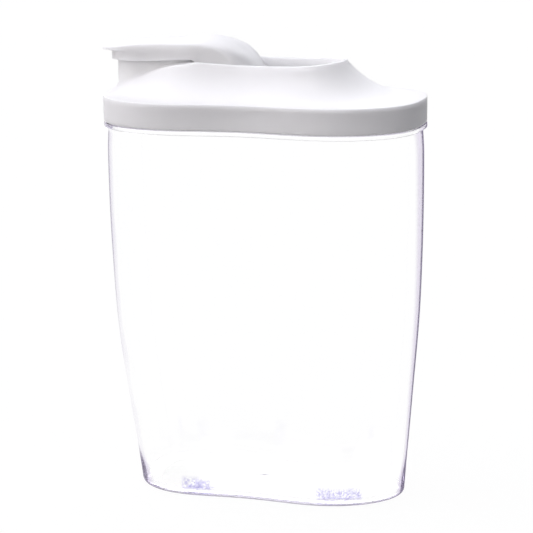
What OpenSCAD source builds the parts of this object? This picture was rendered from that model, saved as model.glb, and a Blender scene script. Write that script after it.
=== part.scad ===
// Cereal keeper: a clear jar, a lift-off lid and a flip cap over the spout.
//
// The jar is a waisted oval that narrows and rounds towards its foot. The white
// lid closes over the jar's neck and rests on its flange. Its domed top sweeps up
// to the rim of a long well, and the spout stands at the left end of that well.
// The flip cap covers the spout and turns on two trunnions inside the well.
//
// Origin: centre of the foot, on the table. X runs along the width, with the
// spout at -X. The front faces -Y, and Z is up. Millimetres.

/* [Plan outline] */
// Length of the lid band and the jar flange
body_length = 180; // [170:1:200]
// Depth that the oval would have without its waist
body_depth = 104.2; // [98:0.2:120]
// How square the oval is, where 2 is an ellipse
body_squareness = 2.6; // [2.3:0.1:3]
// Share of the depth that the waist takes away at the middle
body_waist = 0.176; // [0:0.01:0.24]
// Reach of the waist along each half of the length, as a share of it
waist_reach = 0.46; // [0.35:0.01:0.6]

/* [Jar] */
// Height from the table to the underside of the flange
jar_height = 207.1; // [150:1:240]
// Length of the foot, before its edge is rounded
foot_length = 154.8; // [140:1:160]
// Depth of the foot, without its waist
foot_depth = 88; // [80:1:92]
// How square the foot's oval is
foot_squareness = 2.05; // [2:0.05:2.6]
// Share of the depth that the waist takes away at the foot
foot_waist = 0.228; // [0:0.01:0.25]
// Height of the fullest point of the side, as a share of the jar's height
belly_level = 0.85; // [0.75:0.01:0.95]
// Radius of the rounded edge at the foot
foot_edge = 7; // [5:0.5:10]
// Wall thickness of the jar
jar_wall = 2; // [1.6:0.1:2.6]
// Thickness of the jar's floor
jar_floor = 3; // [2.4:0.1:4]
// Width of the ring that the jar stands on
foot_ring = 4; // [3:0.5:6]
// Height of the panel inside that ring above the table
foot_recess = 1; // [0.6:0.1:1.4]
// How far the flange stands out from the wall
flange_reach = 2.2; // [1.8:0.1:2.8]
// Thickness of the flange
flange_thickness = 2.2; // [1.6:0.1:3]
// Bevel along the flange's edges
flange_edge = 0.4; // [0.2:0.1:0.7]
// Height of the neck above the flange
neck_height = 10; // [8:0.5:11]
// Radius of the gate mark under the floor
gate_radius = 2; // [1:0.5:4]

/* [Lid] */
// Height of the lid's band
band_height = 14.4; // [13.5:0.1:18]
// Wall thickness of the lid
lid_wall = 1.9; // [1.6:0.1:2.2]
// Radius of the band's rounded lower edge
band_edge = 1.2; // [0.6:0.1:1.4]
// Gap between the lid's band and the flange under it
seat_gap = 0.25; // [0.2:0.05:0.5]
// Height of the well's rim above the band, at its lowest point
dome_height = 18.1; // [16:0.1:20]
// How hollow the dome's flanks are, where 1 is straight
dome_hollow = 1.8; // [1.4:0.1:2.2]
// How much more hollow the dome is at its right end
end_hollow = 0.8; // [0:0.1:1.2]
// Height of the right end of the rim above its lowest point
tip_lift = 1.9; // [0.5:0.1:3]
// Height of the rim's shoulders above its lowest point
shoulder_lift = 1.1; // [0.4:0.1:2]
// Distance from the lid's middle to the right end of the rim
rim_reach = 47.4; // [44:0.1:54]
// Half of the rim's width
rim_half_width = 20.8; // [20.5:0.1:22]
// Distance from the lid's middle to the rim's shoulders, where it starts to drop
shoulder_reach = 31; // [28:0.5:36]
// Height of the rim around the spout's nose above the band
nose_lift = 3.7; // [2:0.1:6]
// Width of the rolled edge of the rim
rim_roll = 2; // [1.4:0.1:2.4]
// Depth of the well's floor below the lowest point of the rim
well_depth = 19.6; // [19:0.1:20.4]
// Thickness of the well's floor
well_floor = 1.6; // [1.2:0.1:2]

/* [Spout] */
// Distance from the lid's left end to the centre of the spout's nose
spout_inset = 20.4; // [19:0.1:23]
// Outer radius of the spout's nose, which is half of the spout's width
spout_radius = 15; // [13:0.5:15.5]
// Wall thickness of the spout
spout_wall = 1.7; // [1.4:0.1:2]
// Distance from the lid's middle to the spout's right wall
spout_end = 36; // [35:0.5:40]
// Height of the pouring lip above the lowest point of the rim
lip_height = 4.2; // [3.8:0.1:4.6]
// Width of the cove at the foot of the spout's nose
cove = 2.8; // [2.2:0.1:3.2]

/* [Flip cap] */
// Half of the cap's width
cap_half_width = 18.2; // [17.8:0.1:18.3]
// Wall thickness of the cap's skirt
cap_wall = 1.6; // [1.3:0.1:1.8]
// Thickness of the cap's top
cap_top = 1.8; // [1.5:0.1:2]
// Overhang of the thumb brim past the cap's nose
brim = 4.2; // [3:0.1:6]
// How square the brim is, where 2 is an ellipse
brim_squareness = 2.8; // [2:0.1:3.4]
// Height of the cap's top edge above the lowest point of the rim
cap_height = 10.9; // [10.5:0.1:12]
// How far the top edge droops from its highest point to the brim
brim_droop = 2.9; // [2:0.1:4]
// Height of the skirt's lower edge above the lowest point of the rim
skirt_height = 2.5; // [2.2:0.1:3]
// How far the skirt hangs lower towards the nose
skirt_droop = 1.4; // [0:0.1:2]
// Radius of the rounded edge along the cap's top
cap_round = 1; // [0.4:0.1:1.4]
// Crown of the cap's top along its middle
crown = 0.9; // [0.5:0.1:1.6]
// Extra crown over the heel
heel_crown = 2.2; // [1:0.1:3]
// Distance from the lid's middle to the end of the heel
heel_reach = 0.6; // [0:0.1:2]

/* [Hinge and seals] */
// Distance from the lid's middle to the hinge axis
hinge_reach = 8; // [7:0.1:9]
// Depth of the hinge axis below the lowest point of the rim
hinge_depth = 7; // [6.8:0.1:7.4]
// Radius of the trunnions
trunnion_radius = 2; // [1.5:0.1:2.2]
// Radial running clearance of the trunnions in their bores
hinge_clearance = 0.05; // [0.02:0.01:0.1]
// Radius of the knuckles that carry the trunnions
knuckle_radius = 4.6; // [4:0.1:5]
// Clearance between parts that move past each other
clearance = 0.3; // [0.25:0.05:0.5]
// Thickness of the seal under the cap
cap_seal_thickness = 1.6; // [1.2:0.1:1.8]
// Thickness of the lid's seal above the neck
lid_seal_thickness = 2; // [1.5:0.1:2.4]

/* [Hidden] */

points_round = 88;
taper_levels = 8;
edge_steps = 5;
dome_steps = 6;

half_length = body_length / 2;
half_depth = body_depth / 2;
spout_reach = half_length - spout_inset;
flange_top = jar_height + flange_thickness;
neck_top = flange_top + neck_height;
neck_inset = lid_wall + 0.5;
band_bottom = flange_top + seat_gap;
band_top = band_bottom + band_height;
rim_low = band_top + dome_height;
floor_top = rim_low - well_depth;
floor_bottom = floor_top - well_floor;

// Plan of the rim: straight sides, a round right end and the spout's nose
rim_nose_radius = spout_radius + cove;
rim_nose = -spout_reach - rim_nose_radius;
rim_end_length = 19.5;
rim_bend = rim_reach - rim_end_length;
rim_low_x = 12;
rim_slowness = 2.2;
well_wall = 1.8;
lip_top = rim_low + lip_height;

// The cap's own levels
cap_edge = rim_low + cap_height;
cap_arch_x = -52;
cap_nose = -spout_reach - cap_half_width;
brim_tip = cap_nose - brim;
brim_slowness = 1.9;
skirt_droop_x = -34;
skirt_droop_end = -68;
heel_edge = rim_low - 4;
heel_bottom = rim_low - 5.6;
heel_start_x = -36;
heel_start_reach = 12;
heel_plan_x = -11;
heel_end = -heel_reach;
heel_rise_x = -41;
heel_crown_x = -27;
spine_end = -22;
brim_root = 1;

// Where the top starts to fall to the heel, and how: over the cheeks early and
// with a tight bend, along the middle late and evenly
cheek_fall_x = -55.6;
cheek_fall_end = -12.5;
cheek_fall_bend = 5;
cheek_fall_round = 0.5;
spine_fall_x = heel_crown_x;
spine_fall_bend = 1.3;
spine_fall_round = 0.755;
crown_steps = 8;
cheek_steps = 12;

hinge_x = -hinge_reach;
hinge_z = rim_low - hinge_depth;
well_half_width = rim_half_width - rim_roll;
trunnion_end = well_half_width + 2.8;

// Seals and the faces they press on
cap_seal_top = lip_top + clearance + cap_seal_thickness;
cap_seal_reach = 1.3;
rib_inset = spout_wall + 0.5;
rib_wall = 0.8;
plug_inset = neck_inset + jar_wall + 1.2;
plug_drop = 6;

// A circle's sine or cosine bent towards a square
function bent(v, squareness) = sign(v) * pow(abs(v), 2 / squareness);

function mix(a, b, share) = a + (b - a) * share;

// Smooth step from 0 to 1
function ease(share) = let (t = min(max(share, 0), 1)) t * t * (3 - 2 * t);

// Slow at first, then level again: the sweep of the rim and of the brim
function droop(share, slowness) = sin(90 * pow(min(max(share, 0), 1), slowness));

function turn(i) = 360 * i / points_round;

// A closed waisted oval, anticlockwise from its right tip
function oval(half_l, half_d, squareness, waist) = [
  for (i = [0 : points_round - 1])
    let (x = half_l * bent(cos(turn(i)), squareness))
    let (pinch = waist * exp(-pow(x / (waist_reach * half_l), 2)))
    [x, half_d * bent(sin(turn(i)), squareness) * (1 - pinch)]
];

function body_oval(inset) =
  oval(half_length - inset, half_depth - inset, body_squareness, body_waist);

function at_height(outline, z) = [for (p = outline) [p.x, p.y, z]];

// Joins rings of points into one closed surface. Rings run anticlockwise and go
// up the outside and down the inside. The two end rings are closed by strips
// between their mirrored points, or to each other when looped is true.
module skin(rings, looped = false) {
  n = len(rings[0]);
  last = len(rings) - 1;
  sides = [
    for (r = [0 : looped ? last : last - 1])
      let (a = r * n)
      let (b = (r == last ? 0 : r + 1) * n)
      for (i = [0 : n - 1])
        let (j = (i + 1) % n)
        each [[a + i, b + i, b + j], [a + i, b + j, a + j]]
  ];
  start = [
    for (i = [0 : n / 2 - 1])
      each [
        if (i < n / 2 - 1) [i, i + 1, n - i - 1],
        if (i > 0) [i, n - i - 1, n - i]
      ]
  ];
  end = [for (face = start) [for (k = [2 : -1 : 0]) face[k] + last * n]];
  polyhedron([for (ring = rings) each ring], looped ? sides : concat(sides, start, end));
}

module oval_ring(inset, width, z_low, z_high) {
  translate([0, 0, z_low])
    linear_extrude(z_high - z_low)
      difference() {
        polygon(body_oval(inset));
        polygon(body_oval(inset + width));
      }
}

// ---- Jar ----

// Half of the jar's length at a height: narrow foot, full belly, slight tuck
function jar_half_length(z) =
  let (top = half_length - flange_reach)
  let (tuck = (1 - belly_level) / belly_level)
  let (fall = (top - foot_length / 2) / (1 - tuck * tuck))
  let (level = (belly_level - z / jar_height) / belly_level)
  top + fall * (tuck * tuck - level * level);

function jar_outline(z, inset) =
  let (top = half_length - flange_reach)
  let (spread = (jar_half_length(z) - foot_length / 2) / (top - foot_length / 2))
  let (share = z / jar_height)
  oval(
    jar_half_length(z) - inset,
    mix(foot_depth / 2, half_depth - flange_reach, min(spread, 1)) - inset,
    mix(foot_squareness, body_squareness, share),
    mix(foot_waist, body_waist, share)
  );

function foot_arc(radius, bottom, inset) = [
  for (k = [0 : edge_steps - 1])
    let (a = 90 * k / edge_steps)
    let (z = bottom + radius * (1 - cos(a)))
    at_height(jar_outline(z, inset + radius * (1 - sin(a))), z)
];

function jar_walls(first, inset) = [
  for (k = [0 : taper_levels])
    let (z = mix(first, jar_height, k / taper_levels))
    at_height(jar_outline(z, inset), z)
];

function reversed(list) = [for (k = [len(list) - 1 : -1 : 0]) list[k]];

module jar() {
  inner_edge = foot_edge - jar_wall;
  lip = 0.5;
  color([0.9, 0.9, 0.95, 0.4]) {
    skin(concat(
      [at_height(jar_outline(0, foot_edge + foot_ring + foot_recess), foot_recess)],
      [at_height(jar_outline(0, foot_edge + foot_ring), 0)],
      foot_arc(foot_edge, 0, 0),
      jar_walls(foot_edge, 0),
      [
        at_height(body_oval(flange_edge), jar_height),
        at_height(body_oval(0), jar_height + flange_edge),
        at_height(body_oval(0), flange_top - flange_edge),
        at_height(body_oval(flange_edge), flange_top),
        at_height(body_oval(neck_inset), flange_top),
        at_height(body_oval(neck_inset), neck_top - lip),
        at_height(body_oval(neck_inset + lip), neck_top),
        at_height(body_oval(neck_inset + jar_wall - lip), neck_top),
        at_height(body_oval(neck_inset + jar_wall), neck_top - lip)
      ],
      reversed(jar_walls(jar_floor + inner_edge, jar_wall)),
      reversed(foot_arc(inner_edge, jar_floor, jar_wall))
    ));
    translate([0, 0, foot_recess - 0.4])
      cylinder(h = 1, r = gate_radius, $fn = 32);
  }
}

// ---- Lid ----

// Half of the rim's width at x, drawn in by inset
function rim_width(x, inset) =
  x > rim_bend
    ? (rim_half_width - inset)
      * sqrt(max(0, 1 - pow((x - rim_bend) / (rim_end_length - inset), 2)))
    : x > -spout_reach
    ? mix(rim_half_width, rim_nose_radius,
        ease((-shoulder_reach - x) / (spout_reach - shoulder_reach))) - inset
    : nose_width(x, rim_nose_radius - inset);

// Half of the spout's width at x, for a given radius of its nose
function nose_width(x, radius) =
  x > -spout_reach ? radius : sqrt(max(0, pow(radius, 2) - pow(x + spout_reach, 2)));

// Places a ring's point between a left and a right end
function along(i, left, right) =
  mix(left, right, (1 + bent(cos(turn(i)), body_squareness)) / 2);

function side(i) = i == 0 || i == points_round / 2 ? 0 : i < points_round / 2 ? 1 : -1;

function rim_ring(inset) = [
  for (i = [0 : points_round - 1])
    let (x = along(i, rim_nose + inset, rim_reach - inset))
    [x, side(i) * rim_width(x, inset)]
];

// The well's wall, and left of the well the middle of the spout's wall
function inner_ring() =
  let (radius = spout_radius - spout_wall / 2)
  [
    for (i = [0 : points_round - 1])
      let (x = along(i, -spout_reach - radius, rim_reach - rim_roll))
      [x, side(i) * (x > -spout_end ? rim_width(x, rim_roll) : nose_width(x, radius))]
  ];

// Height of the rim along its length
function rim_level(x) =
  x > rim_low_x
    ? rim_low + tip_lift * pow((x - rim_low_x) / (rim_reach - rim_low_x), 2)
    : x > -shoulder_reach
    ? rim_low + shoulder_lift * pow((rim_low_x - x) / (shoulder_reach + rim_low_x), 2)
    : rim_low + shoulder_lift - (dome_height + shoulder_lift - nose_lift)
      * droop((-shoulder_reach - x) / (-rim_nose - shoulder_reach), rim_slowness);

// Height of the edge between rim and inner ring: a roll at the well, and a cove
// that climbs the spout's wall but stays below the cap's skirt
function edge_level(x, share) =
  let (radius = rim_roll / 2)
  x > -spout_end
    ? rim_level(x) - radius + radius * sqrt(1 - pow(2 * share - 1, 2))
    : rim_level(x) - radius
      + (radius + min(1.6 * cove, skirt_level(x) - 3 * clearance - rim_level(x))) * pow(share, 2);

// The dome from the band (share 0) to the rim (share 1)
function dome_ring(outer, inner, share, drop_low, drop_high) = [
  for (i = [0 : points_round - 1])
    let (level = rim_level(inner[i].x) - drop_high)
    let (hollow = dome_hollow + end_hollow * pow(max(0, inner[i].x / rim_reach), 2))
    [
      mix(outer[i].x, inner[i].x, share),
      mix(outer[i].y, inner[i].y, share),
      mix(band_top - drop_low, level, pow(share, hollow))
    ]
];

function edge_ring(outer, inner, share) = [
  for (i = [0 : points_round - 1])
    [
      mix(outer[i].x, inner[i].x, share),
      mix(outer[i].y, inner[i].y, share),
      edge_level(outer[i].x, share)
    ]
];

// The low edge of the well's wall, which stays short around the spout
function wall_foot(ring, thickness) = [
  for (p = ring)
    [p.x, p.y, p.x > -spout_end - 8 ? floor_bottom : rim_level(p.x) - thickness]
];

module lid_shell() {
  rim = rim_ring(0);
  inner = inner_ring();
  back = rim_ring(rim_roll - well_wall);
  skin_drop = 1.7 * lid_wall;
  skin(concat(
    [
      for (a = [0 : 45 : 90])
        at_height(body_oval(band_edge * (1 - sin(a))), band_bottom + band_edge * (1 - cos(a)))
    ],
    [at_height(body_oval(0), band_top)],
    [for (k = [1 : dome_steps]) dome_ring(body_oval(0), rim, k / dome_steps, 0, rim_roll / 2)],
    [for (share = [0.15, 0.5, 0.85, 1]) edge_ring(rim, inner, share)],
    [wall_foot(inner, lid_wall), wall_foot(back, skin_drop + 0.2)],
    [
      for (k = [dome_steps : -2 : 0])
        dome_ring(body_oval(lid_wall), back, k / dome_steps, lid_wall, skin_drop)
    ],
    [at_height(body_oval(lid_wall), band_bottom)]
  ), looped = true);
}

// Plan of the spout's tube, grown or drawn in: a round nose and a blunt end
function spout_plan(grow) =
  let (radius = spout_radius + grow)
  let (corner = max(2 + grow, 0.5))
  let (corner_x = -spout_end + grow - corner)
  concat(
    [for (a = [90 : 7.5 : 270]) [-spout_reach + radius * cos(a), radius * sin(a)]],
    [for (a = [-90 : 30 : 0]) [corner_x + corner * cos(a), corner - radius + corner * sin(a)]],
    [for (a = [0 : 30 : 90]) [corner_x + corner * cos(a), radius - corner + corner * sin(a)]]
  );

module spout_prism(grow, z_low, z_high) {
  translate([0, 0, z_low])
    linear_extrude(z_high - z_low)
      polygon(spout_plan(grow));
}

// The well's floor closes the wall's foot and meets the spout's right wall
module well_floor() {
  outline = [for (p = inner_ring()) if (p.x > -spout_end - 6) [p.x, p.y]];
  translate([0, 0, floor_bottom])
    linear_extrude(well_floor)
      polygon(outline);
}

// Both sides at once: a cylinder across the lid, outwards from y_low
module on_hinge(radius, y_low, y_high) {
  for (way = [-1, 1])
    translate([hinge_x, way * y_low, hinge_z])
      rotate([-90 * way, 0, 0])
        cylinder(h = y_high - y_low, r = radius, $fn = 48);
}

module lid() {
  boss_wall = 1.6;
  color([0.96, 0.96, 0.96])
    difference() {
      union() {
        lid_shell();
        well_floor();
        spout_prism(0, band_top - lid_wall + 0.1, lip_top);
        oval_ring(plug_inset, 1.4, band_top - lid_wall - plug_drop, band_top - 0.4);
        on_hinge(trunnion_radius + boss_wall, well_half_width + 0.7, trunnion_end + 0.8);
      }
      spout_prism(-spout_wall, floor_bottom - 1, lip_top + 1);
      on_hinge(trunnion_radius + hinge_clearance, well_half_width - 1, trunnion_end + 0.2);
    }
}

// A flat ring over the neck, with a lip that wipes the neck's inside
module lid_seal() {
  lip_inset = neck_inset + jar_wall + clearance;
  color([0.92, 0.92, 0.93])
    union() {
      oval_ring(lid_wall + 0.1, plug_inset - lid_wall - 0.2,
        neck_top + clearance, neck_top + clearance + lid_seal_thickness);
      oval_ring(lip_inset, plug_inset - lip_inset - 0.1,
        neck_top - 2, neck_top + clearance + 0.5);
    }
}

// ---- Flip cap ----

// Height of the skirt's lower edge
function skirt_level(x) =
  rim_low + skirt_height
    - skirt_droop * ease((skirt_droop_x - x) / (skirt_droop_x - skirt_droop_end));

// Half of the nose's width at x, as a share, for its reach and its squareness
function nose_share(x, reach, squareness) =
  pow(1 - pow(min(max((-spout_reach - x) / reach, 0), 1), squareness), 1 / squareness);

// Plan of the cap: a round heel, straight cheeks and a nose, which is round at
// the skirt and squarer where it reaches out as the brim
function cap_half(inset, nose_reach) =
  let (width = cap_half_width - inset)
  let (squareness = nose_reach > 0 ? brim_squareness : 2)
  concat(
    [for (a = [0 : 15 : 90]) [mix(heel_plan_x, heel_end - inset, cos(a)), width * sin(a)]],
    [for (k = [1 : cheek_steps]) [mix(heel_plan_x, -spout_reach, k / cheek_steps), width]],
    [
      for (a = [9 : 9 : 90])
        [
          -spout_reach - (width + nose_reach) * bent(sin(a), squareness),
          width * bent(cos(a), squareness)
        ]
    ]
  );

function cap_ring(inset, nose_reach) =
  let (half = cap_half(inset, nose_reach))
  concat(half, [for (k = [len(half) - 2 : -1 : 1]) [half[k].x, -half[k].y]]);

// Share of the top's height that is left over a point of the heel
function fall(x, y, inset) =
  let (middle = 1 - pow(min(abs(y) / (cap_half_width - inset), 1), 2))
  let (first = mix(cheek_fall_x, spine_fall_x, middle))
  let (last = mix(cheek_fall_end, heel_end - inset, sqrt(middle)))
  let (share = min(max((x - first) / (last - first), 0), 1))
  pow(
    1 - pow(share, mix(cheek_fall_bend, spine_fall_bend, middle)),
    mix(cheek_fall_round, spine_fall_round, middle)
  );

// Height of the top over a point: the arch, the crown across it, and the fall
function top_level(x, y, inset = 0, drop = 0) =
  let (nose = nose_share(x, cap_half_width + brim, brim_squareness))
  let (out = min(abs(y) / (cap_half_width * max(nose, 0.001)), 1))
  let (arch = cap_edge - brim_droop * droop((cap_arch_x - x) / (cap_arch_x - brim_tip), brim_slowness))
  let (rise = crown * nose + heel_crown * ease((x - heel_rise_x) / (heel_crown_x - heel_rise_x)))
  mix(heel_edge, arch + rise * (1 - out * out) - drop, fall(x, y, inset));

// Share of a round edge's height that is lost at a distance inside the edge
function rounded(distance, radius) =
  let (u = min(distance / radius, 1)) 1 - sqrt(u * (2 - u));

// One ring of the top or of its underside, at an angle up the crown
function top_ring(start, angle, inset, drop) = [
  for (p = start)
    let (spine_x = min(max(p.x, -spout_reach), spine_end))
    let (x = mix(spine_x, p.x, cos(angle)))
    let (y = p.y * cos(angle))
    let (lost = drop > 0 ? 0 : rounded(norm([p.x - x, p.y - y]), cap_round))
    [x, y, top_level(x, y, inset, drop) - cap_round * lost * fall(x, y, inset)]
];

// Height of the cap's lower edge, which goes down into the well at the heel
function foot_level(x) =
  mix(skirt_level(x), heel_bottom, ease((x - heel_start_x) / heel_start_reach));

// A ring up the cap's side, drop below the top edge where the skirt is tall
function side_ring(ring, edge, drop, share) = [
  for (i = [0 : len(ring) - 1])
    let (top = top_level(edge[i].x, edge[i].y))
    let (foot = foot_level(ring[i].x))
    [ring[i].x, ring[i].y, max(top - drop, mix(foot, top, share))]
];

function skirt_foot(ring) = [for (p = ring) [p.x, p.y, foot_level(p.x)]];

function crown_angle(k) = 84 * k / crown_steps;

// Outside of the cap from its foot to the spine, as rings
function cap_outside() =
  let (edge = cap_ring(0, brim))
  let (skirt = cap_ring(0, 0))
  concat(
    [skirt_foot(skirt)],
    [side_ring(skirt, edge, cap_top + brim_root, 0.3)],
    [side_ring(edge, edge, cap_top, 0.6)],
    [for (k = [0 : crown_steps]) top_ring(edge, crown_angle(k), 0, 0)]
  );

function cap_inside() =
  let (inside = cap_ring(cap_wall, 0))
  concat(
    [for (k = [crown_steps : -1 : 0]) top_ring(inside, crown_angle(k), cap_wall, cap_top)],
    [skirt_foot(inside)]
  );

// Walls under the top that hold the seal: a seat over the lip, and an inner rib
module seal_seat() {
  reach = cap_height;
  seat_top = cap_edge + reach;
  intersection() {
    translate([0, 0, -cap_top / 2])
      skin(cap_outside());
    difference() {
      union() {
        spout_prism(cap_seal_reach + cap_wall / 2 + clearance, cap_seal_top, seat_top);
        spout_prism(-rib_inset, lip_top + 1.5 * clearance, seat_top);
      }
      spout_prism(-rib_inset - rib_wall, lip_top - 1, seat_top + 1);
    }
  }
}

module flip_cap() {
  color([0.97, 0.97, 0.97])
    union() {
      skin(concat(cap_inside(), cap_outside()));
      seal_seat();
      on_hinge(knuckle_radius, cap_half_width - 3, cap_half_width);
      on_hinge(trunnion_radius, cap_half_width - 1, trunnion_end);
    }
}

// A flat ring that the cap presses on the spout's lip
module cap_seal() {
  color([0.9, 0.9, 0.91])
    difference() {
      spout_prism(cap_seal_reach, lip_top + clearance, cap_seal_top);
      spout_prism(clearance - rib_inset, lip_top, cap_seal_top + 1);
    }
}

jar();
lid();
lid_seal();
flip_cap();
cap_seal();
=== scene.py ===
import math

import bpy
import numpy as np
from mathutils import Matrix, Vector


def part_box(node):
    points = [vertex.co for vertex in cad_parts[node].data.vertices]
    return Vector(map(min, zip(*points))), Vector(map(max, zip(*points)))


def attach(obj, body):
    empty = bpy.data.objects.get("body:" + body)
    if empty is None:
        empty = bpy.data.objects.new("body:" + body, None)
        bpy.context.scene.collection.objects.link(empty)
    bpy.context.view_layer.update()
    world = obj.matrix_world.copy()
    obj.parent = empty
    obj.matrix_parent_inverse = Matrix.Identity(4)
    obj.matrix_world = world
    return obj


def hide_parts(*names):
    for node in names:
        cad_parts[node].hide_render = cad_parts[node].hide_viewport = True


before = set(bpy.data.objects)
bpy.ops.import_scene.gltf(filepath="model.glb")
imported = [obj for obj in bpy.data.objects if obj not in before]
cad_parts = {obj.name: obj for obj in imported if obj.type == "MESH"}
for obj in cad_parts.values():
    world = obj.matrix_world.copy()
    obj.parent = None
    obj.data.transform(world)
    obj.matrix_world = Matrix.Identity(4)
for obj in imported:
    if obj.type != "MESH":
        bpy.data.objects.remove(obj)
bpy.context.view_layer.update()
bpy.ops.object.select_all(action="DESELECT")

mm = 0.001

# ---- Camera ----
# A long lens on a stand, a little above the lid and to the right of the front.

camera_azimuth = math.radians(18.93)
camera_elevation = math.radians(13.34)
camera_roll = math.radians(-1.0)
camera_distance = 1057.4 * mm
camera_target = Vector((0, 0, 126.8 * mm))

turned = (
    Matrix.Rotation(camera_azimuth, 4, "Z")
    @ Matrix.Rotation(math.pi / 2 - camera_elevation, 4, "X")
    @ Matrix.Rotation(camera_roll, 4, "Z")
)
bpy.ops.object.camera_add()
camera = bpy.context.object
camera.name = "camera"
camera.rotation_euler = turned.to_euler()
camera.location = camera_target + turned.to_3x3() @ Vector((0, 0, camera_distance))
camera.data.lens = 127.4
camera.data.sensor_width = 36
bpy.context.scene.camera = camera

# ---- Jar ----
# The clear body: an injection-moulded cup in styrene-acrylonitrile, 2 mm thick,
# whose waisted oval narrows towards the foot, a little more at its left end than at
# its right. A flange carries the lid, and the neck above it goes up inside the lid.

points_round = 256
jar_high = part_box("jar")[1]
body_half_length = jar_high.x
body_half_depth = 52.1 * mm
body_squareness = 2.6
body_waist = 0.176
waist_reach = 0.46
belly_level = 0.85

jar_wall = 2 * mm
jar_floor = 3 * mm
jar_height = 207.1 * mm
flange_reach = 2.2 * mm
flange_top = 209.3 * mm
neck_inset = 2.4 * mm
neck_lip = 0.5 * mm
neck_top = jar_high.z
fine_edge = 0.4 * mm

foot_half_length = 78.64 * mm
foot_half_depth = 43.1 * mm
foot_squareness = 1.933
left_foot_squareness = 2.645
foot_waist = 0.231
foot_waist_reach = 0.566
foot_edge = 2.4 * mm
inner_edge = 3 * mm
foot_ring = 6 * mm
foot_recess = 1 * mm
foot_steps = 12
wall_steps = 61

# How far each end stands out of the even oval, or in from it, and the shares of the
# jar's height at which one swell gives way to the next.
left_foot_swell = -4.74 * mm
left_side_swell = 0.3 * mm
left_side_level = 0.53
left_belly_swell = 0.31 * mm
left_belly_start = 0.5
left_belly_level = 0.85
right_foot_swell = -0.5 * mm
right_foot_level = 0.12
right_side_swell = 0.55 * mm
right_side_start = 0.25
right_side_level = 0.55
even_level = 0.93

# Slow waves on the inside of the wall, as the cooling plastic leaves them.
wave_height = 0.12 * mm
long_wave = 9 * mm
short_wave = 5.3 * mm
short_wave_share = 0.6
turns = np.linspace(0, 2 * math.pi, points_round, endpoint=False)


def mix(first, last, share):
    return first + (last - first) * share


def ease(share):
    """Smooth step from 0 to 1."""
    share = np.clip(share, 0, 1)
    return share * share * (3 - 2 * share)


def ease_between(start, end, value):
    """Smooth step from 0 at the start to 1 at the end."""
    return ease((value - start) / (end - start))


def bent(value, squareness):
    """A circle's sine or cosine bent towards a square."""
    return np.sign(value) * np.abs(value) ** (2 / squareness)


def oval(half_length, half_depth, squareness, waist, reach=waist_reach):
    """A closed waisted oval, anticlockwise from its right tip."""
    x = half_length * bent(np.cos(turns), squareness)
    pinch = waist * np.exp(-((x / (reach * half_length)) ** 2))
    return x, half_depth * bent(np.sin(turns), squareness) * (1 - pinch)


def body_oval(inset):
    return oval(body_half_length - inset, body_half_depth - inset, body_squareness, body_waist)


def ring_at(outline, z):
    """Points of an outline, laid at a height or at a height for each point."""
    x, y = outline
    return np.stack([x, y, np.broadcast_to(z, x.shape)], axis=1)


def wrap(name, rings, looped=False):
    """Lays a grid of faces round the piece, one row to each ring, and closes it."""
    if looped:
        rings = [*rings, rings[0]]
    points = np.array([np.vstack([ring, ring[:1]]) for ring in rings])
    rows, columns = points.shape[:2]
    bpy.ops.mesh.primitive_grid_add(x_subdivisions=columns - 1, y_subdivisions=rows - 1)
    piece = bpy.context.object
    piece.name = name
    piece.data.vertices.foreach_set("co", points.ravel())
    bpy.ops.object.mode_set(mode="EDIT")
    bpy.ops.mesh.select_all(action="SELECT")
    bpy.ops.mesh.remove_doubles(threshold=0.001 * mm)
    bpy.ops.mesh.fill_holes(sides=0)
    bpy.ops.mesh.normals_make_consistent(inside=False)
    bpy.ops.object.mode_set(mode="OBJECT")
    return piece


def apply_modifier(piece, kind, **settings):
    """Adds a modifier with its settings and applies it."""
    modifier = piece.modifiers.new(kind.lower(), kind)
    for key, value in settings.items():
        setattr(modifier, key, value)
    bpy.context.view_layer.objects.active = piece
    bpy.ops.object.modifier_apply(modifier=modifier.name)


def jar_outline(z, inset):
    """The wall's plan at a height: narrow foot, full belly, slight tuck above."""
    top = body_half_length - flange_reach
    tuck = (1 - belly_level) / belly_level
    fall = (top - foot_half_length) / (1 - tuck * tuck)
    level = (belly_level - z / jar_height) / belly_level
    half_length = top + fall * (tuck * tuck - level * level)
    spread = min((half_length - foot_half_length) / (top - foot_half_length), 1)
    share = z / jar_height
    low_squareness = np.where(np.cos(turns) < 0, left_foot_squareness, foot_squareness)
    x, y = oval(
        half_length - inset,
        mix(foot_half_depth, body_half_depth - flange_reach, spread) - inset,
        mix(low_squareness, body_squareness, share),
        mix(foot_waist, body_waist, share),
        mix(foot_waist_reach, waist_reach, share),
    )
    left = mix(left_foot_swell, left_side_swell, ease(share / left_side_level))
    left += left_belly_swell * ease_between(left_belly_start, left_belly_level, share)
    right = mix(right_foot_swell, right_side_swell, ease_between(right_side_start, right_side_level, share))
    right *= ease(share / right_foot_level)
    swell = np.where(x < 0, -left, right) * ease_between(1, even_level, share)
    return x + swell * (x / (half_length - inset)) ** 2, y


def foot_arc(radius, bottom, inset):
    """The rounded corner between a floor and a wall."""
    rings = []
    for angle in np.linspace(0, math.pi / 2, foot_steps, endpoint=False):
        z = bottom + radius * (1 - math.cos(angle))
        rings.append(ring_at(jar_outline(z, inset + radius * (1 - math.sin(angle))), z))
    return rings


def jar_walls(first, inset, wave=0.0):
    """The side from a height up to the flange, waved or even."""
    rings = []
    for z in np.linspace(first, jar_height, wall_steps):
        ripple = wave * (math.sin(z / long_wave) + short_wave_share * math.sin(z / short_wave + 1))
        rings.append(ring_at(jar_outline(z, inset + ripple), z))
    return rings


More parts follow.
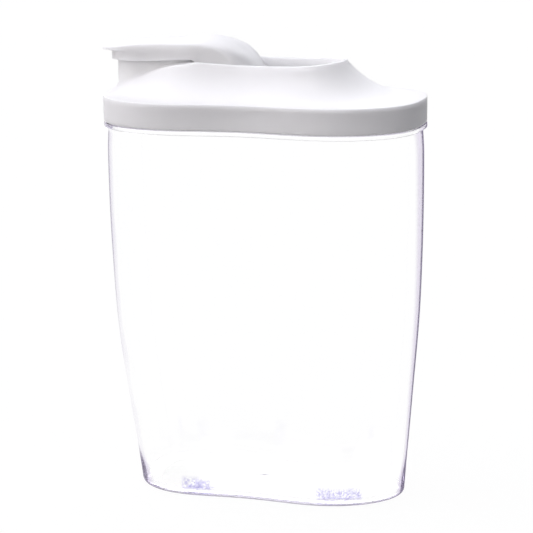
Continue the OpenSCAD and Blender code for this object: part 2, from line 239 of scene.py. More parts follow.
jar = wrap("clear_jar", [
    ring_at(jar_outline(0, foot_edge + foot_ring + foot_recess), foot_recess),
    ring_at(jar_outline(0, foot_edge + foot_ring), 0),
    *foot_arc(foot_edge, 0, 0),
    *jar_walls(foot_edge, 0),
    ring_at(body_oval(0), jar_height),
    ring_at(body_oval(0), flange_top),
    ring_at(body_oval(neck_inset), flange_top),
    ring_at(body_oval(neck_inset), neck_top - neck_lip),
    ring_at(body_oval(neck_inset + neck_lip), neck_top),
    ring_at(body_oval(neck_inset + jar_wall - neck_lip), neck_top),
    ring_at(body_oval(neck_inset + jar_wall), neck_top - neck_lip),
    *reversed(jar_walls(jar_floor + inner_edge, jar_wall, wave_height)),
    *reversed(foot_arc(inner_edge, jar_floor, jar_wall)),
])
apply_modifier(
    jar, "BEVEL", width=fine_edge, segments=3, limit_method="ANGLE", angle_limit=math.radians(35)
)


def combine(piece, tool, operation="UNION"):
    """Joins a solid to a piece or cuts it out, and removes the solid."""
    apply_modifier(piece, "BOOLEAN", operation=operation, object=tool, solver="MANIFOLD")
    bpy.data.objects.remove(tool)


def smooth(piece, sharpest):
    """Selects a piece alone and shades it smooth, up to an edge angle in degrees."""
    bpy.ops.object.select_all(action="DESELECT")
    piece.select_set(True)
    bpy.context.view_layer.objects.active = piece
    bpy.ops.object.shade_smooth_by_angle(angle=math.radians(sharpest))


# The low round mark of the mould's gate, in the middle of the floor.
gate_place = (-3 * mm, 0, jar_floor)
gate_radius = 2.4 * mm
gate_flatness = 0.1
bpy.ops.mesh.primitive_uv_sphere_add(segments=48, ring_count=24, radius=gate_radius, location=gate_place)
gate = bpy.context.object
gate.scale.z = gate_flatness
bpy.ops.object.transform_apply(location=True, rotation=True, scale=True)
combine(jar, gate)
smooth(jar, 40)
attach(jar, "jar")
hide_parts("jar")


def linear(hex_colour):
    """Linear colour for an sRGB hex value."""
    channels = [int(hex_colour[i:i + 2], 16) / 255 for i in (1, 3, 5)]
    return [c / 12.92 if c <= 0.04045 else ((c + 0.055) / 1.055) ** 2.4 for c in channels] + [1]


def add_node(owner, kind, settings=()):
    """Adds a node, sets its values and joins its inputs to other nodes' outputs."""
    node = owner.node_tree.nodes.new(kind)
    for key, value in dict(settings).items():
        if isinstance(value, bpy.types.NodeSocket):
            owner.node_tree.links.new(value, node.inputs[key])
        elif isinstance(key, str) and hasattr(node, key):
            setattr(node, key, value)
        else:
            node.inputs[key].default_value = value
    return node


def cover(piece, material):
    """Gives a piece one material."""
    piece.data.materials.clear()
    piece.data.materials.append(material)


# Styrene-acrylonitrile, moulded against a polished mould: as clear as glass, so the walls
# vanish against white, and painted shade draws only a thin grey-violet line at their turning
# edges, with a violet strip beside it, a few painted glints over the foot and a faint gate mark.
clear_san = bpy.data.materials.new("clear_moulded_san")
clear_san.use_nodes = True
shader = clear_san.node_tree.nodes["Principled BSDF"]
shader.inputs["Roughness"].default_value = 0.0
shader.inputs["IOR"].default_value = 1.57
shader.inputs["Transmission Weight"].default_value = 1

path = add_node(clear_san, "ShaderNodeLightPath").outputs
place = add_node(clear_san, "ShaderNodeTexCoord").outputs
x_axis, y_axis, z_axis = add_node(clear_san, "ShaderNodeSeparateXYZ", {0: place["Object"]}).outputs
inner_side = add_node(clear_san, "ShaderNodeNewGeometry").outputs["Backfacing"]
facing = add_node(clear_san, "ShaderNodeLayerWeight", {"Blend": 0.5}).outputs["Facing"]

# 1 on a level floor and 0 on an upright wall.
upward = add_node(clear_san, "ShaderNodeSeparateXYZ", {0: place["Normal"]}).outputs["Z"]
flatness = add_node(clear_san, "ShaderNodeMath", {"operation": "POWER", 0: upward, 1: 2}).outputs[0]


def soft_area(height, *steps):
    """An area of the jar, as soft steps between limits, each a share of the last."""
    for source, (start, end) in steps:
        height = add_node(clear_san, "ShaderNodeMapRange", {
            "interpolation_type": "SMOOTHSTEP", "Value": source,
            "From Min": start, "From Max": end, "To Max": height,
        }).outputs["Result"]
    return height


# A ray enters where it meets the outer face of a wall for the first time.
full_at_none = (1, 0)
entering = ((inner_side, full_at_none), (path["Transmission Depth"], full_at_none))
front_reach = (0, -15 * mm)

# How far the wall has turned edge on, with some added low down, where the foot curls in.
curl_share = 0.19
curl_height = (26 * mm, 8 * mm)
curl = soft_area(curl_share, (z_axis, curl_height))
turned_away = add_node(clear_san, "ShaderNodeMath", {"operation": "ADD", 0: facing, 1: curl}).outputs[0]

# The sides dark enough to get an edge of painted shade: the right, the upper left and the foot.
right_side_reach = (-40 * mm, 40 * mm)
upper_left_share = 0.55
upper_left_height = (60 * mm, 170 * mm)
upper_left_end = (206 * mm, 203 * mm)
dark_foot_share = 0.85
dark_foot_height = (25 * mm, 13 * mm)
shade_line_sides = soft_area(1, (x_axis, right_side_reach))
for area in (
    soft_area(upper_left_share, (z_axis, upper_left_height), (z_axis, upper_left_end)),
    soft_area(dark_foot_share, (z_axis, dark_foot_height)),
):
    shade_line_sides = add_node(clear_san, "ShaderNodeMath", {
        "operation": "MAXIMUM", 0: shade_line_sides, 1: area,
    }).outputs[0]

# Painted shade: the dark line along the outline and under the foot, and the paler strip beside it.
line_turn = (0.77, 0.84)
foot_line_share = 0.65
foot_line_height = (3.2 * mm, 1.8 * mm)
foot_line_flatness = (0.94, 0.75)
strip_turn = (0.6, 0.77)
strip_flatness = (0.5, 0.1)
outline = soft_area(shade_line_sides, (turned_away, line_turn), *entering)
painted_foot_shade = soft_area(
    foot_line_share, (z_axis, foot_line_height), (flatness, foot_line_flatness),
    (y_axis, front_reach), *entering,
)
painted_edge_shade = add_node(clear_san, "ShaderNodeMath", {
    "operation": "MAXIMUM", 0: outline, 1: painted_foot_shade,
}).outputs[0]
painted_shade_strip = soft_area(shade_line_sides, (turned_away, strip_turn), (flatness, strip_flatness), *entering)
painted_light_and_gate_tints = [("#B8AACC", painted_shade_strip)]

# Painted glints: violet over the front of the foot, in two stretches of small clouds, each
# faded at its ends over a share of its length.
glint_size = 2.381 * mm
glint_strength = (0.38, 0.6)
glint_height = (13 * mm, 8 * mm)
glint_depth = (-18 * mm, -26 * mm)
glint_fade = 0.1
clouds = add_node(clear_san, "ShaderNodeTexNoise", {
    "Scale": 1 / glint_size, "Detail": 1.0, "Distortion": 1.5, "Vector": place["Object"],
}).outputs["Fac"]
painted_glint_clouds = soft_area(1, (clouds, glint_strength), (z_axis, glint_height), (y_axis, glint_depth))
for left, right in ((-41 * mm, -23 * mm), (37 * mm, 63 * mm)):
    fade = glint_fade * (right - left)
    painted_glints = soft_area(painted_glint_clouds, (x_axis, (left, left + fade)), (x_axis, (right, right - fade)))
    painted_light_and_gate_tints.append(("#C6C2E8", painted_glints))

# The gate mark, a little frosted.
gate_mark_reach = (3 * mm, 1.6 * mm)
gate_way = add_node(clear_san, "ShaderNodeVectorMath", {
    "operation": "DISTANCE", 0: place["Object"], 1: gate_place,
}).outputs["Value"]
painted_light_and_gate_tints.append(("#A4A0B0", soft_area(1, (gate_way, gate_mark_reach))))

# The base colour: white, with the painted shade strip, the painted glints and the gate mark laid over it.
tint = linear("#FFFFFF")
for colour, area in painted_light_and_gate_tints:
    tint = add_node(clear_san, "ShaderNodeMix", {
        "data_type": "RGBA", 0: area, 6: tint, 7: linear(colour),
    }).outputs[2]
clear_san.node_tree.links.new(tint, shader.inputs["Base Color"])

# A ray that has bounced between the walls for long goes straight on through a faint tint,
# pale violet at the front as painted reflection, so that no dark spots gather in the corners,
# and the line's painted shade is a grey-violet film.
spent_bounces = (2.4, 2.6)
spent = soft_area(1, (path["Glossy Depth"], spent_bounces))
painted_front_tint = add_node(clear_san, "ShaderNodeMix", {
    "data_type": "RGBA", 0: soft_area(1, (y_axis, front_reach)),
    6: linear("#FFFFFF"), 7: linear("#DAD4E6"),
}).outputs[2]
clear = shader.outputs[0]
for share, film in ((spent, painted_front_tint), (painted_edge_shade, linear("#8A8298"))):
    through = add_node(clear_san, "ShaderNodeBsdfTransparent", {"Color": film}).outputs[0]
    clear = add_node(clear_san, "ShaderNodeMixShader", {0: share, 1: clear, 2: through}).outputs[0]
clear_san.node_tree.links.new(clear, clear_san.node_tree.nodes["Material Output"].inputs["Surface"])
cover(jar, clear_san)

# ---- Lid ----
# The white lid, moulded in one piece in polypropylene: a band round the jar's neck,
# a hollow-flanked dome that sweeps up to the rolled rim of the well, and the spout's
# tube at the left. Bosses under the well's rim hold the cap's trunnions.

lid_low, lid_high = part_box("lid")
lid_wall = 1.9 * mm
band_edge = 1.2 * mm
band_bottom = lid_low.z
band_crease = 0.35 * mm
lip_top = lid_high.z
rim_low = lip_top - 4.2 * mm
dome_height = 18.1 * mm
dome_steps = 30
dome_hollow = 1.8
end_hollow = 0.8
band_top = rim_low - dome_height
tip_lift = 1.9 * mm
shoulder_lift = 1.1 * mm
shoulder_reach = 31 * mm
rim_reach = 47.4 * mm
rim_half_width = 20.8 * mm
rim_end_length = 19.5 * mm
rim_bend = rim_reach - rim_end_length
rim_low_x = 12 * mm
rim_roll = 2 * mm
nose_lift = 3.7 * mm
rim_slowness = 2.2
spout_reach = body_half_length - 20.4 * mm
spout_radius = 15 * mm
spout_wall = 1.7 * mm
spout_end = 36 * mm
cove = 2.8 * mm
rim_nose_radius = spout_radius + cove
rim_nose = -spout_reach - rim_nose_radius
cove_climb = 1.6 * cove
spout_blend = 2 * mm
well_wall = 1.8 * mm
wall_foot_x = -spout_end - 8 * mm
skin_drop = 1.7 * lid_wall
skin_step = 0.2 * mm
skin_steps = 12
roll_steps = 10
skirt_height = 2.2 * mm
skirt_droop = 1.4 * mm
skirt_droop_x = -34 * mm
skirt_droop_end = -68 * mm
skirt_gap = 0.9 * mm
floor_top = rim_low - 19.6 * mm
floor_bottom = floor_top - 1.6 * mm


def droop(share, slowness):
    """Slow at first, then level again: the sweep of the rim and of the brim."""
    return np.sin(math.pi / 2 * np.clip(share, 0, 1) ** slowness)


def quarter(steps):
    """Angles from 0 to a right angle."""
    return np.linspace(0, math.pi / 2, steps + 1)


def nose_width(x, radius):
    """Half width of a slot with a round left end at the spout's nose."""
    return np.sqrt(np.maximum(0, radius ** 2 - np.minimum(x + spout_reach, 0) ** 2))


def rim_width(x, inset):
    """Half width of the rim: straight sides, a round right end, a round left nose."""
    narrowing = ease((-shoulder_reach - x) / (spout_reach - shoulder_reach))
    width = mix(rim_half_width, rim_nose_radius, narrowing) - inset
    right = np.maximum(x - rim_bend, 0) / (rim_end_length - inset)
    left = np.minimum(x + spout_reach, 0) / (rim_nose_radius - inset)
    return width * np.sqrt(np.maximum(0, 1 - right ** 2 - left ** 2))


def along(left, right):
    """Stations from the right end round to the left one and back."""
    return mix(left, right, (1 + bent(np.cos(turns), body_squareness)) / 2)


# 1 at the back, -1 at the front, and 0 at both tips.
side = np.sign(np.round(np.sin(turns), 6))


def rim_ring(inset):
    """Plan of the rim, drawn in by an inset."""
    x = along(rim_nose + inset, rim_reach - inset)
    return x, side * rim_width(x, inset)


def near_spout(x):
    """1 left of the spout's right wall, 0 in the well, with a short blend between."""
    return ease_between(-spout_end + spout_blend, -spout_end - spout_blend, x)


def inner_ring(inset=0):
    """The well's wall, and left of the well the middle of the spout's wall."""
    radius = spout_radius - spout_wall / 2
    x = along(-spout_reach - radius, rim_reach - rim_roll - inset)
    return x, side * mix(rim_width(x, rim_roll + inset), nose_width(x, radius), near_spout(x))


def rim_level(x):
    """Height of the rim, which lifts to both ends and drops around the spout."""
    right = np.maximum(x - rim_low_x, 0) / (rim_reach - rim_low_x)
    left = np.clip((rim_low_x - x) / (shoulder_reach + rim_low_x), 0, 1)
    sweep = droop((-shoulder_reach - x) / (-rim_nose - shoulder_reach), rim_slowness)
    shoulder = shoulder_lift * left ** 2 - (dome_height + shoulder_lift - nose_lift) * sweep
    return rim_low + tip_lift * right ** 2 + shoulder


def between(outer, inner, share):
    return tuple(mix(first, last, share) for first, last in zip(outer, inner))


def dome_ring(outer, inner, share, drop_low=0.0, drop_high=0.0):
    """The dome from the band (share 0) to the rim (share 1)."""
    hollow = dome_hollow + end_hollow * np.maximum(0, inner[0] / rim_reach) ** 2
    level = mix(band_top - drop_low, rim_level(inner[0]) - drop_high, share ** hollow)
    return ring_at(between(outer, inner, share), level)


def skirt_level(x):
    """Height of the cap's skirt, which hangs lower at the nose."""
    return rim_low + skirt_height - skirt_droop * ease_between(skirt_droop_x, skirt_droop_end, x)


def edge_ring(outer, inner, share):
    """The rim's roll at the well, and a cove that climbs the spout's wall."""
    x = outer[0]
    radius = rim_roll / 2
    roll = radius * np.sqrt(1 - (2 * share - 1) ** 2)
    climb = np.minimum(cove_climb, skirt_level(x) - skirt_gap - rim_level(x))
    level = rim_level(x) - radius + mix(roll, (radius + climb) * share ** 2, near_spout(x))
    return ring_at(between(outer, inner, share), level)


def wall_foot(outline, thickness):
    """The low edge of the well's wall, which stays short around the spout."""
    x = outline[0]
    return ring_at(outline, np.where(x > wall_foot_x, floor_bottom, rim_level(x) - thickness))


rim = rim_ring(0)
inner = inner_ring()
back = rim_ring(rim_roll - well_wall)
band = body_oval(0)
band_inside = body_oval(lid_wall)
dome_reach = np.hypot(rim[0] - band[0], rim[1] - band[1])
roll_shares = (1 - np.cos(np.linspace(0, math.pi, roll_steps + 1))) / 2


def crease_ring(angle):
    """A small round edge between the band and the dome."""
    ring = dome_ring(band, rim, band_crease * (1 - math.cos(angle)) / dome_reach, 0, rim_roll / 2)
    ring[:, 2] -= band_crease * (1 - math.sin(angle))
    return ring


def band_edge_ring(angle):
    """The band's round lower edge."""
    outline = body_oval(band_edge * (1 - math.sin(angle)))
    return ring_at(outline, band_bottom + band_edge * (1 - math.cos(angle)))


lid = wrap("lid_shell", [
    *[band_edge_ring(angle) for angle in quarter(8)],
    *[crease_ring(angle) for angle in quarter(6)],
    *[dome_ring(band, rim, mix(band_crease / dome_reach, 1, share), 0, rim_roll / 2)
      for share in np.linspace(0, 1, dome_steps)[1:]],
    *[edge_ring(rim, inner, share) for share in roll_shares[1:]],
    wall_foot(inner, lid_wall),
    wall_foot(back, skin_drop + skin_step),
    *[dome_ring(band_inside, back, share, lid_wall, skin_drop)
      for share in np.linspace(1, 0, skin_steps)],
    ring_at(band_inside, band_bottom),
], looped=True)

spout_corner = 2 * mm
least_corner = 0.5 * mm
spout_bottom = band_top - lid_wall + 0.1 * mm
spout_edge = 0.45 * mm


def spout_plan(grow):
    """The spout's plan, grown or drawn in: a round nose and a blunt right end."""
    radius = spout_radius + grow
    corner = max(spout_corner + grow, least_corner)
    corner_x = -spout_end + grow - corner
    corner_y = radius - corner
    nose = np.linspace(math.pi / 2, 3 * math.pi / 2, 73)
    low = -quarter(6)[::-1]
    high = quarter(6)
    x = np.concatenate([
        -spout_reach + radius * np.cos(nose),
        corner_x + corner * np.cos(low),
        corner_x + corner * np.cos(high),
    ])
    y = np.concatenate([
        radius * np.sin(nose),
        -corner_y + corner * np.sin(low),
        corner_y + corner * np.sin(high),
    ])
    return x, y


def ring_wall(name, plan, outer, inner, z_low, z_high, edge):
    """A closed ring between two offsets of a plan, with round edges at the top."""
    return wrap(name, [
        ring_at(plan(outer), z_low),
        *[ring_at(plan(outer - edge * (1 - math.cos(a))), z_high - edge * (1 - math.sin(a)))
          for a in quarter(4)],
        *[ring_at(plan(inner + edge * (1 - math.sin(a))), z_high - edge * (1 - math.cos(a)))
          for a in quarter(4)],
        ring_at(plan(inner), z_low),
    ], looped=True)


def inward(inset):
    """The band's plan, which a negative inset draws in."""
    return body_oval(-inset)


plug_inset = 5.6 * mm
plug_wall = 1.4 * mm
plug_bottom = band_top - 7.9 * mm
plug_top = band_top - 0.4 * mm
plug_edge = 0.3 * mm
hinge_x = -8 * mm
hinge_z = rim_low - 7 * mm
well_half_width = rim_half_width - rim_roll
trunnion_end = well_half_width + 2.8 * mm
trunnion_radius = 2 * mm
boss_radius = trunnion_radius + 1.6 * mm
boss_start = well_half_width + 0.7 * mm
boss_end = trunnion_end + 0.8 * mm
bore_radius = trunnion_radius + 0.05 * mm
bore_start = well_half_width - 1 * mm
bore_end = trunnion_end + 0.2 * mm


def on_hinge(radius, y_low, y_high, way):
    """A pin across the lid, outwards from y_low on one side."""
    bpy.ops.mesh.primitive_cylinder_add(
        vertices=64, radius=radius, depth=y_high - y_low,
        location=(hinge_x, way * (y_low + y_high) / 2, hinge_z), rotation=(math.pi / 2, 0, 0),
    )
    pin = bpy.context.object
    bpy.ops.object.transform_apply(location=True, rotation=True, scale=True)
    return pin


well_left = -spout_end - spout_wall / 2
floor_lap = 0.8 * mm
floor_rise = 0.001 * mm
fillet = 1.5 * mm
fillet_lap = 0.02 * mm
fillet_top = floor_top + 1.2 * fillet


def well_ring(inset, z):
    """Plan of the well's floor, cut off at the spout's wall."""
    x, y = inner_ring(inset)
    return ring_at((np.maximum(x, well_left), y), z)


combine(lid, wrap("well_floor", [
    well_ring(-floor_lap, floor_bottom + floor_rise),
    well_ring(-floor_lap, fillet_top),
    *[well_ring(fillet * (1 - math.cos(a)) - fillet_lap, floor_top + fillet * (1 - math.sin(a)))
      for a in quarter(6)],
]))
combine(lid, ring_wall("spout", spout_plan, 0, -spout_wall, spout_bottom, lip_top, spout_edge))
combine(lid, ring_wall(
    "plug", inward, -plug_inset, -plug_inset - plug_wall, plug_bottom, plug_top, plug_edge
))
for way in (-1, 1):
    combine(lid, on_hinge(boss_radius, boss_start, boss_end, way))
    combine(lid, on_hinge(bore_radius, bore_start, bore_end, way), "DIFFERENCE")
smooth(lid, 38)
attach(lid, "lid")
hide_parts("lid")


# Size of the faint clouds in the colour, how far the gloss varies with the grain, and
# how far light runs on inside. A real mould's grain is finer than a tenth of a
# millimetre, and it is drawn coarser here, so that it shows.
cloud_size = 18 * mm
gloss_spread = 0.06
light_reach = 4 * mm


def white_moulded(name, colours, roughness, ior, grain_size, grain_depth):
    """A soft-edged white material with faint clouds in its colour and a fine grain."""
    material = bpy.data.materials.new(name)
    material.use_nodes = True
    shader = material.node_tree.nodes["Principled BSDF"]
    place = add_node(material, "ShaderNodeTexCoord").outputs["Object"]
    clouds, grain = (
        add_node(material, "ShaderNodeTexNoise", {
            "Scale": 1 / size, "Detail": 2.0, "Vector": place,
        }).outputs["Fac"]
        for size in (cloud_size, grain_size)
    )
    colour = add_node(material, "ShaderNodeMix", {
        "data_type": "RGBA", 0: clouds, 6: linear(colours[0]), 7: linear(colours[1]),
    }).outputs[2]
    relief = add_node(material, "ShaderNodeBump", {
        "Strength": 1.0, "Distance": grain_depth, "Height": grain,
    }).outputs["Normal"]
    gloss = add_node(material, "ShaderNodeMapRange", {
        "To Min": roughness - gloss_spread, "To Max": roughness + gloss_spread, "Value": grain,
    }).outputs["Result"]
    for key, source in (("Base Color", colour), ("Normal", relief), ("Roughness", gloss)):
        material.node_tree.links.new(source, shader.inputs[key])
    shader.inputs["IOR"].default_value = ior
    shader.inputs["Specular IOR Level"].default_value = 0.25
    shader.inputs["Subsurface Weight"].default_value = 1
    shader.inputs["Subsurface Radius"].default_value = (1, 1, 1)
    shader.inputs["Subsurface Scale"].default_value = light_reach
    return material


# Polypropylene, moulded: milky, so that light runs on in it and softens the folds, with
# the fine grain of an eroded mould that breaks up the shine.
white_pp = white_moulded(
    "white_moulded_polypropylene", ("#FAFAFA", "#F6F6F8"),
    roughness=0.42, ior=1.49, grain_size=0.5 * mm, grain_depth=0.006 * mm,
)
cover(lid, white_pp)

# ---- Lid seal ----
# The soft ring cast in white silicone that sits in the lid's channel: flat over the
# jar's neck, with a lip that goes down inside it.

seal_gap = 0.1 * mm
seal_inner = -plug_inset + seal_gap
seal_bottom = neck_top + 0.3 * mm
seal_top = neck_top + 2.3 * mm
seal_edge = 0.3 * mm
seal_lip_inset = 4.7 * mm
seal_lip_bottom = neck_top - 2 * mm
seal_lip_top = neck_top + 0.8 * mm
seal_lip_edge = 0.1 * mm
lid_seal = ring_wall(
    "lid_seal_ring", inward, -lid_wall - seal_gap, seal_inner, seal_bottom, seal_top, seal_edge
)
combine(lid_seal, ring_wall(
    "seal_lip", inward, -seal_lip_inset, seal_inner, seal_lip_bottom, seal_lip_top, seal_lip_edge
))
smooth(lid_seal, 38)
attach(lid_seal, "lid")
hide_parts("lid_seal")

# Silicone, cast: softer and duller than the mouldings, a little warm, with a satin bloom.
white_silicone = white_moulded(
    "white_cast_silicone", ("#F3F2EF", "#EDECE8"),
    roughness=0.58, ior=1.41, grain_size=0.9 * mm, grain_depth=0.01 * mm,
)
cover(lid_seal, white_silicone)

# ---- Flip cap ----
# The white cap over the spout, a polypropylene shell with a thumb brim at its nose
# and a heel that rolls down into the well. Knuckles inside its cheeks carry the
# trunnions, and a double wall underneath holds the seal.

cap_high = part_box("flip_cap")[1]
cap_half_width = 18.2 * mm
cap_nose = -spout_reach - cap_half_width
cap_wall = 1.6 * mm
cap_top = 1.8 * mm
brim = 4.2 * mm
brim_squareness = 2.8
brim_droop = 2.9 * mm
brim_slowness = 1.9
brim_root = 1 * mm
brim_tip = cap_nose - brim
cap_edge = rim_low + 10.9 * mm
cap_arch_x = -52 * mm
crown = 0.9 * mm
heel_crown = 2.2 * mm
heel_rise_x = -41 * mm
heel_crown_x = -27 * mm
heel_plan_x = -11 * mm
heel_end = cap_high.x
heel_edge = rim_low - 4 * mm
heel_bottom = rim_low - 5.6 * mm
heel_start_x = -36 * mm
heel_start_reach = 12 * mm
cap_round = 1.1 * mm
spine_end = -22 * mm
skirt_share = 0.3
brim_share = 0.6
cheek_steps = 44
crown_steps = 24

# Where the top starts to fall to the heel, and how: over the cheeks early and with a
# tight bend, along the middle late and evenly.
cheek_fall_x = -55.6 * mm
cheek_fall_end = -12.5 * mm
cheek_fall_bend = 5
cheek_fall_round = 0.5
spine_fall_x = heel_crown_x
spine_fall_bend = 1.3
spine_fall_round = 0.755


def nose_share(x, reach, squareness):
    """Half of the nose's width at x, as a share."""
    return (1 - np.clip((-spout_reach - x) / reach, 0, 1) ** squareness) ** (1 / squareness)


def cap_ring(inset, nose_reach=0.0):
    """Plan of the cap: a round heel, straight cheeks, and a nose that is squarer at the brim."""
    width = cap_half_width - inset
    squareness = brim_squareness if nose_reach > 0 else 2
    heel = quarter(20)
    cheek = np.linspace(0, 1, cheek_steps + 1)[1:]
    nose = quarter(32)[1:]
    x = np.concatenate([
        mix(heel_plan_x, heel_end - inset, np.cos(heel)),
        mix(heel_plan_x, -spout_reach, cheek),
        -spout_reach - (width + nose_reach) * bent(np.sin(nose), squareness),
    ])
    y = width * np.concatenate([np.sin(heel), np.ones(cheek_steps), bent(np.cos(nose), squareness)])
    y[-1] = 0
    return np.concatenate([x, x[-2:0:-1]]), np.concatenate([y, -y[-2:0:-1]])


def fall(x, y, inset):
    """Share of the top's height that is left over a point of the heel."""
    middle = 1 - np.minimum(np.abs(y) / (cap_half_width - inset), 1) ** 2
    first = mix(cheek_fall_x, spine_fall_x, middle)
    last = mix(cheek_fall_end, heel_end - inset, np.sqrt(middle))
    share = np.clip((x - first) / (last - first), 0, 1)
    bend = mix(cheek_fall_bend, spine_fall_bend, middle)
    return (1 - share ** bend) ** mix(cheek_fall_round, spine_fall_round, middle)


def top_level(x, y, inset=0.0, drop=0.0):
    """Height of the top over a point: the arch, the crown across it, and the fall."""
    nose = nose_share(x, cap_half_width + brim, brim_squareness)
    out = np.minimum(np.abs(y) / (cap_half_width * np.maximum(nose, 0.001)), 1)
    arch = cap_edge - brim_droop * droop((cap_arch_x - x) / (cap_arch_x - brim_tip), brim_slowness)
    rise = crown * nose + heel_crown * ease_between(heel_rise_x, heel_crown_x, x)
    return mix(heel_edge, arch + rise * (1 - out ** 2) - drop, fall(x, y, inset))


def rounded(distance, radius):
    """Share of a round edge's height that is lost at a distance inside the edge."""
    inside = np.minimum(distance / radius, 1)
    return 1 - np.sqrt(inside * (2 - inside))


def top_ring(start, angle, inset=0.0, drop=0.0):
    """One ring of the top or of its underside, at an angle up the crown."""
    x = mix(np.clip(start[0], -spout_reach, spine_end), start[0], math.cos(angle))
    y = start[1] * math.cos(angle)
    lost = 0 if drop > 0 else rounded(np.hypot(start[0] - x, start[1] - y), cap_round)
    return ring_at((x, y), top_level(x, y, inset, drop) - cap_round * lost * fall(x, y, inset))


def foot_level(x):
    """Height of the cap's lower edge, which goes down into the well at the heel."""
    return mix(skirt_level(x), heel_bottom, ease((x - heel_start_x) / heel_start_reach))


def side_ring(ring, edge, drop, share):
    """A ring up the cap's side, drop below the top edge where the skirt is tall."""
    top = top_level(*edge)
    return ring_at(ring, np.maximum(top - drop, mix(foot_level(ring[0]), top, share)))


skirt = cap_ring(0)
edge = cap_ring(0, brim)
inside = cap_ring(cap_wall)
cap = wrap("cap_shell", [
    *[top_ring(inside, angle, cap_wall, cap_top) for angle in quarter(crown_steps)[::-1]],
    ring_at(inside, foot_level(inside[0])),
    ring_at(skirt, foot_level(skirt[0])),
    side_ring(skirt, edge, cap_top + brim_root, skirt_share),
    side_ring(edge, edge, cap_top, brim_share),
    *[top_ring(edge, angle) for angle in quarter(crown_steps)],
])

# The double wall under the top: the seat that the seal lies against, and a rib inside it.
seat_level = lip_top + 1.9 * mm
seat_reach = 2.4 * mm
rib_inset = spout_wall + 0.5 * mm
rib_wall = 0.8 * mm
rib_bottom = lip_top + 0.45 * mm
knuckle_radius = 4.6 * mm
knuckle_start = cap_half_width - 3 * mm
trunnion_start = cap_half_width - 1 * mm
cap_fine_edge = 0.3 * mm


def under_top(grow):
    """The seat's upper end, halfway into the cap's top."""
    x, y = spout_plan(grow)
    return ring_at((x, y), top_level(x, y) - cap_top / 2)


combine(cap, wrap("seal_seat", [
    ring_at(spout_plan(seat_reach), seat_level),
    under_top(seat_reach),
    under_top(-rib_inset - rib_wall),
    ring_at(spout_plan(-rib_inset - rib_wall), rib_bottom),
    ring_at(spout_plan(-rib_inset), rib_bottom),
    ring_at(spout_plan(-rib_inset), seat_level),
], looped=True))
for way in (-1, 1):
    combine(cap, on_hinge(knuckle_radius, knuckle_start, cap_half_width, way))
    combine(cap, on_hinge(trunnion_radius, trunnion_start, trunnion_end, way))
apply_modifier(
    cap, "BEVEL", width=cap_fine_edge, segments=3, limit_method="ANGLE", angle_limit=math.radians(40)
)
smooth(cap, 38)
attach(cap, "flip_cap")
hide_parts("flip_cap")
cover(cap, white_pp)

# ---- Cap seal ----
# A flat ring cast in white silicone. It lies under the cap's double wall, round its
# rib, and closes on the spout's lip when the cap is shut.

cap_seal_reach = 1.3 * mm
cap_seal_inner = 0.3 * mm - rib_inset
cap_seal_bottom = lip_top + 0.3 * mm
cap_seal_edge = 0.2 * mm
cap_seal = ring_wall(
    "cap_seal_ring", spout_plan, cap_seal_reach, cap_seal_inner, cap_seal_bottom, seat_level, cap_seal_edge
)
smooth(cap_seal, 38)
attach(cap_seal, "flip_cap")
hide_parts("cap_seal")
cover(cap_seal, white_silicone)

# ---- Floor, light and background ----
# A white studio: a paper floor, six soft lamps round and above it, and an even white
# background. The paper is near white where it is seen, with a faint shadow, and grey
# in the light that it throws back.

bpy.ops.mesh.primitive_plane_add(size=12)
floor = bpy.context.object
floor.name = "floor"
floor_glow = 0.965
floor_white = bpy.data.materials.new("floor_white")
floor_white.use_nodes = True
cover(floor, floor_white)
paper = floor_white.node_tree.nodes["Principled BSDF"]
paper.inputs["Roughness"].default_value = 1
paper.inputs["Specular IOR Level"].default_value = 0


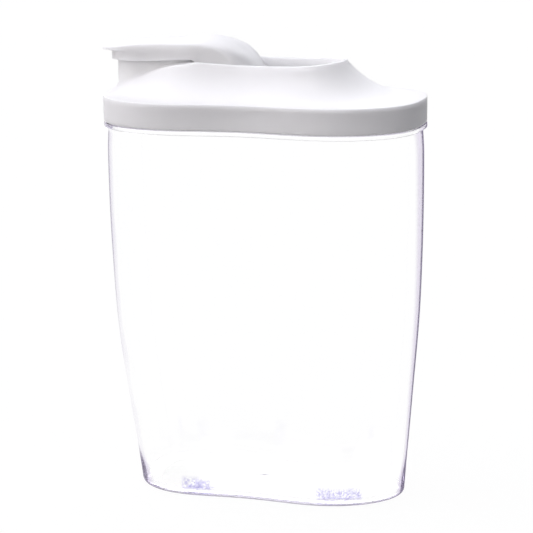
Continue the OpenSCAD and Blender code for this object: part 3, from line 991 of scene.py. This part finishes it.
def background_ray(owner):
    """1 where a ray comes from the camera, a mirror or a clear wall, and 0 for light."""
    path = add_node(owner, "ShaderNodeLightPath").outputs
    seen = path["Is Camera Ray"]
    for kind in ("Is Glossy Ray", "Is Transmission Ray"):
        seen = add_node(owner, "ShaderNodeMath", {
            "operation": "MAXIMUM", 0: seen, 1: path[kind],
        }).outputs[0]
    return seen


seen = background_ray(floor_white)
paper_colour = add_node(floor_white, "ShaderNodeMix", {
    "data_type": "RGBA", 0: seen, 6: linear("#A1A1A1"), 7: linear("#FFFFFF"),
}).outputs[2]
floor_white.node_tree.links.new(paper_colour, paper.inputs["Base Color"])
white = add_node(floor_white, "ShaderNodeEmission", {"Color": linear("#FFFFFF")}).outputs[0]
share = add_node(floor_white, "ShaderNodeMath", {
    "operation": "MULTIPLY", 0: seen, 1: floor_glow,
}).outputs[0]
both = add_node(floor_white, "ShaderNodeMixShader", {0: share, 1: paper.outputs[0], 2: white}).outputs[0]
floor_white.node_tree.links.new(both, floor_white.node_tree.nodes["Material Output"].inputs["Surface"])

world = bpy.data.worlds.new("white_studio")
bpy.context.scene.world = world
world.use_nodes = True
backdrop = world.node_tree.nodes["Background"]
backdrop.inputs["Color"].default_value = linear("#FFFFFF")
world.node_tree.links.new(background_ray(world), backdrop.inputs["Strength"])

# Each lamp's azimuth and elevation in degrees, its strength and its colour.
lamp_softness = math.radians(50)
lamps = {
    "key_lamp": (270, 55, 1.57, "#F8F8FF"),
    "side_lamp": (300, 5, 1.52, "#FFFAFB"),
    "front_lamp": (0, 25, 0.66, "#FFFAFB"),
    "top_lamp": (0, 85, 0.87, "#F8F8FF"),
    "right_lamp": (45, 55, 0.39, "#F8F8FF"),
    "back_lamp": (180, 40, 0.97, "#F8F8FF"),
}
for name, (azimuth, elevation, energy, colour) in lamps.items():
    azimuth = math.radians(azimuth)
    elevation = math.radians(elevation)
    way = Vector((
        math.sin(azimuth) * math.cos(elevation),
        -math.cos(azimuth) * math.cos(elevation),
        math.sin(elevation),
    ))
    bpy.ops.object.light_add(type="SUN", location=way)
    lamp = bpy.context.object
    lamp.name = name
    lamp.data.angle = lamp_softness
    lamp.data.energy = energy
    lamp.data.color = linear(colour)[:3]
    lamp.rotation_euler = way.to_track_quat("Z", "Y").to_euler()

bpy.context.scene.view_settings.view_transform = "Standard"
